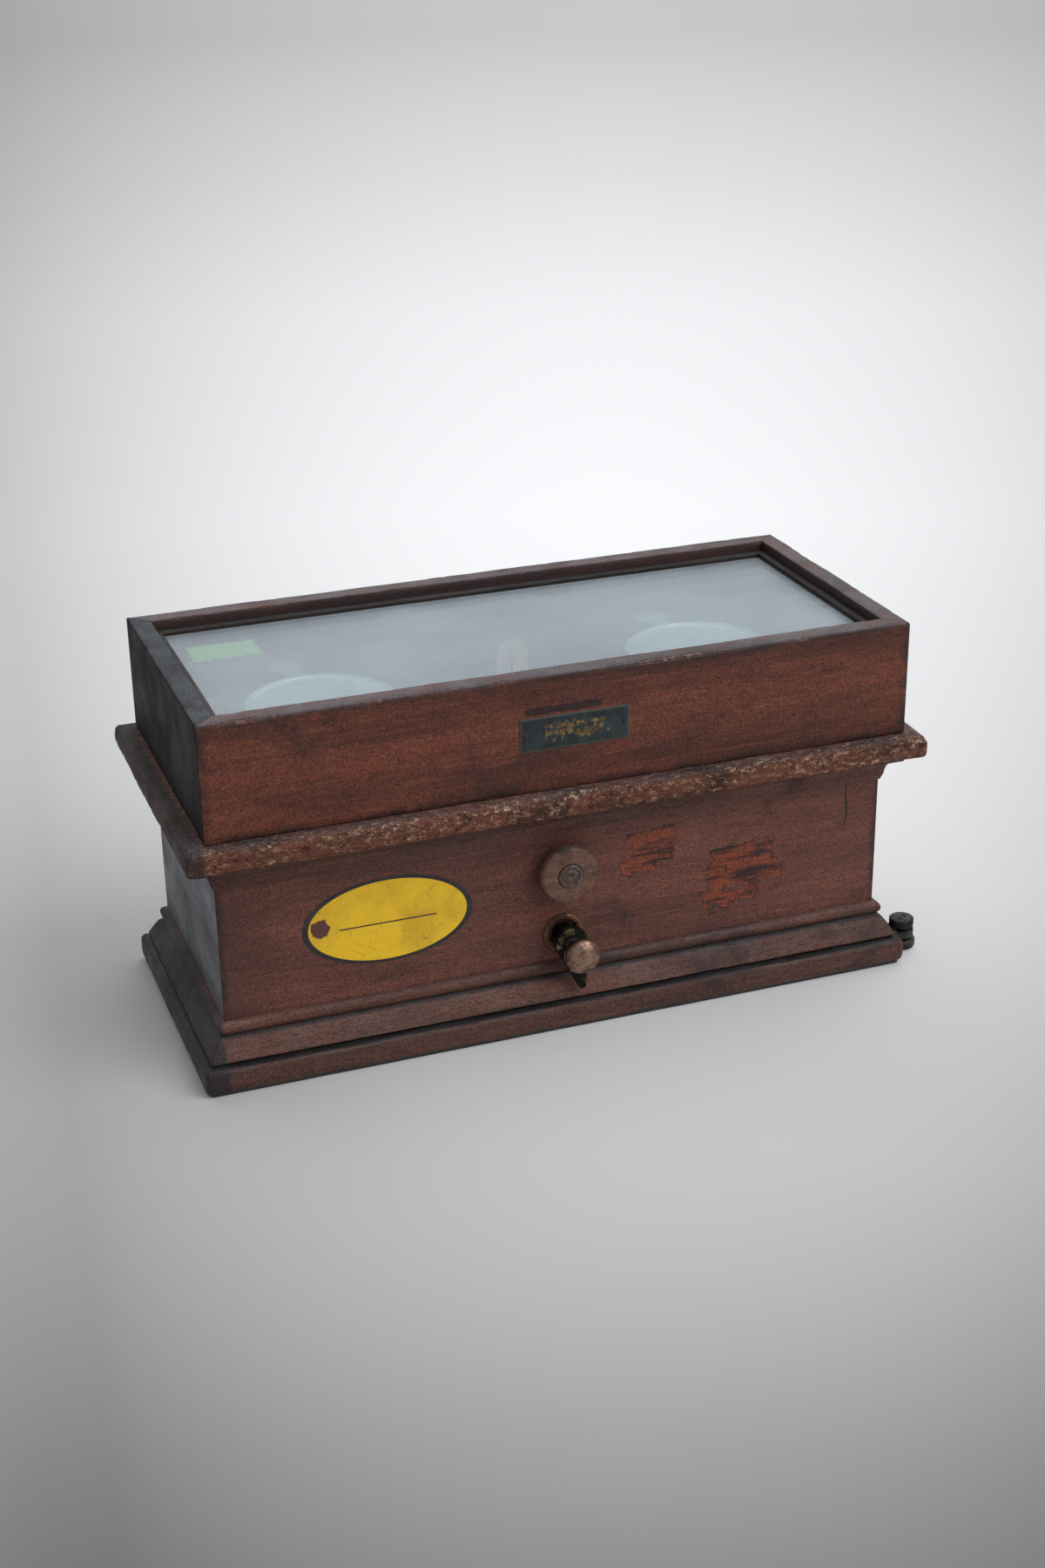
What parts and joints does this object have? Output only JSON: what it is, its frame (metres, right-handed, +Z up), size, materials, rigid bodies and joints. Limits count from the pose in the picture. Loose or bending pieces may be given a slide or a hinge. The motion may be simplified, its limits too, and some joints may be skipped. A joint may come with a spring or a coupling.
{
  "type": "torsion prescription balance",
  "caption": "Wood-cased torsion-band prescription balance: two pans under a hinged glazed lid, twin beams on steel bands, zero knob, arrest lever and levelling screws.",
  "frame": {"origin": "middle of the cloth-covered resting face under the plinth, under the middle of the lid", "axes": "+X right along the front, +Y to the back, +Z up"},
  "size_m": [0.4206, 0.1956, 0.2052],
  "materials": {
    "case_wood": "old polished mahogany, worn and scratched",
    "side_wood": "old polished mahogany",
    "lid_wood": "old polished mahogany with a dusty top edge",
    "deck_wood": "mahogany with flaking varnish",
    "plinth_wood": "dark mahogany",
    "moulding_wood": "dark mahogany",
    "knob_wood": "worn turned wood",
    "baize": "felted wool cloth",
    "glass": "old hazy sheet glass",
    "iron": "black japanned iron",
    "beam_metal": "cast and lacquered",
    "band_steel": "tempered steel band",
    "spring_steel": "blued spring steel",
    "needle_steel": "blued steel",
    "screw_steel": "plain steel",
    "brass": "lacquered brass with tarnish",
    "aged_brass": "dull brown brass",
    "lever_brass": "handled brass, bright on the dome",
    "pan_metal": "nickelled pan",
    "index_enamel": "cream enamel",
    "oval_print": "scratched yellow foil label",
    "paper": "pale paper",
    "plate_metal": "blackened plate worn to brass",
    "black_steel": "black polished steel",
    "cap_metal": "turned cap, dull",
    "lug_metal": "dull iron bracket"
  },
  "bodies": {
    "case": {"baize": "baize", "plinth": "plinth_wood", "base_mouldings": "moulding_wood", "case_front": "case_wood", "case_right": "side_wood", "case_back": "side_wood", "case_left": "side_wood", "cove_mouldings": "moulding_wood", "deck_board": "deck_wood", "deck_plates": "brass", "oval_label": "oval_print", "bed_plate": "iron", "bed_screws": "screw_steel", "centre_truss": "iron", "centre_bands": "band_steel", "arrest_guides": "screw_steel", "arrest_bush": "aged_brass", "knob_bush": "brass", "index_post": "brass", "index_plate": "index_enamel", "level_lugs": "lug_metal", "level_lug_screws": "screw_steel", "case_hinge_leaves": "brass", "hinge_pins": "brass", "case_hinge_screws": "screw_steel"},
    "lid": {"lid_front": "lid_wood", "lid_right": "lid_wood", "lid_back": "lid_wood", "lid_left": "lid_wood", "glass": "glass", "glass_stops": "moulding_wood", "glazing_beads": "moulding_wood", "name_plate": "plate_metal", "plate_nails": "aged_brass", "paper_label": "paper", "lid_hinge_leaves": "brass", "lid_hinge_screws": "screw_steel"},
    "upper_beam": {"upper_beam": "beam_metal", "pointer": "needle_steel", "tare_rods": "brass", "zero_spring": "spring_steel"},
    "lower_beam": {"lower_beam": "beam_metal"},
    "left_end": {"left_truss": "beam_metal", "left_bands": "band_steel", "left_post": "brass"},
    "right_end": {"right_truss": "beam_metal", "right_bands": "band_steel", "right_post": "brass"},
    "left_pan": {"left_pan": "pan_metal"},
    "right_pan": {"right_pan": "pan_metal"},
    "tare_poise": {"tare_poise": "brass"},
    "zero_knob": {"zero_knob": "knob_wood", "knob_cap": "cap_metal", "knob_spindle": "screw_steel"},
    "arrest_lever": {"arrest_shaft": "black_steel", "arrest_leaf": "lever_brass", "arrest_knob": "lever_brass"},
    "arrest_yoke": {"arrest_yoke": "aged_brass"},
    "front_level_screw": {"front_level_screw": "aged_brass"},
    "back_level_screw": {"back_level_screw": "aged_brass"}
  },
  "joints": [
    {"name": "lid_hinge", "type": "hinge", "parent": "case", "child": "lid", "pos_m": [0, 0.0873, 0.1451], "axis": [-1, 0, 0], "range_deg": [0, 100]},
    {"name": "upper_beam_tilt", "type": "hinge", "parent": "case", "child": "upper_beam", "pos_m": [0, 0, 0.09], "axis": [0, 1, 0], "range_deg": [-2, 2], "stiffness_Nm_per_rad": 0.6},
    {"name": "lower_beam_tilt", "type": "hinge", "parent": "case", "child": "lower_beam", "pos_m": [0, 0, 0.046], "axis": [0, 1, 0], "range_deg": [-2, 2]},
    {"name": "left_end_tilt", "type": "hinge", "parent": "upper_beam", "child": "left_end", "pos_m": [-0.108, 0, 0.09], "axis": [0, 1, 0], "range_deg": [-2, 2]},
    {"name": "right_end_tilt", "type": "hinge", "parent": "upper_beam", "child": "right_end", "pos_m": [0.108, 0, 0.09], "axis": [0, 1, 0], "range_deg": [-2, 2]},
    {"name": "left_pan_lift", "type": "slide", "parent": "left_end", "child": "left_pan", "axis": [0, 0, 1], "range_m": [0, 0.008]},
    {"name": "right_pan_lift", "type": "slide", "parent": "right_end", "child": "right_pan", "axis": [0, 0, 1], "range_m": [0, 0.008]},
    {"name": "tare_poise_slide", "type": "slide", "parent": "upper_beam", "child": "tare_poise", "axis": [1, 0, 0], "range_m": [-0.01, 0.01]},
    {"name": "zero_knob_turn", "type": "hinge", "parent": "case", "child": "zero_knob", "pos_m": [0, -0.0694, 0.09], "axis": [0, -1, 0], "range_deg": [-180, 180]},
    {"name": "arrest_turn", "type": "hinge", "parent": "case", "child": "arrest_lever", "pos_m": [0, -0.0694, 0.0512], "axis": [0, -1, 0], "range_deg": [0, 90]},
    {"name": "arrest_yoke_lift", "type": "slide", "parent": "case", "child": "arrest_yoke", "axis": [0, 0, 1], "range_m": [0, 0.0025]},
    {"name": "front_level_turn", "type": "hinge", "parent": "case", "child": "front_level_screw", "pos_m": [0.2092, -0.063, 0.01], "axis": [0, 0, 1], "range_deg": [-180, 180]},
    {"name": "back_level_turn", "type": "hinge", "parent": "case", "child": "back_level_screw", "pos_m": [0.2092, 0.063, 0.01], "axis": [0, 0, 1], "range_deg": [-180, 180]}
  ],
  "couplings": [
    {"joint": "lower_beam_tilt", "follows": "upper_beam_tilt", "ratio": 1},
    {"joint": "left_end_tilt", "follows": "upper_beam_tilt", "ratio": -1},
    {"joint": "right_end_tilt", "follows": "upper_beam_tilt", "ratio": -1},
    {"joint": "arrest_turn", "follows": "arrest_yoke_lift", "rad_per_m": 628.3}
  ]
}
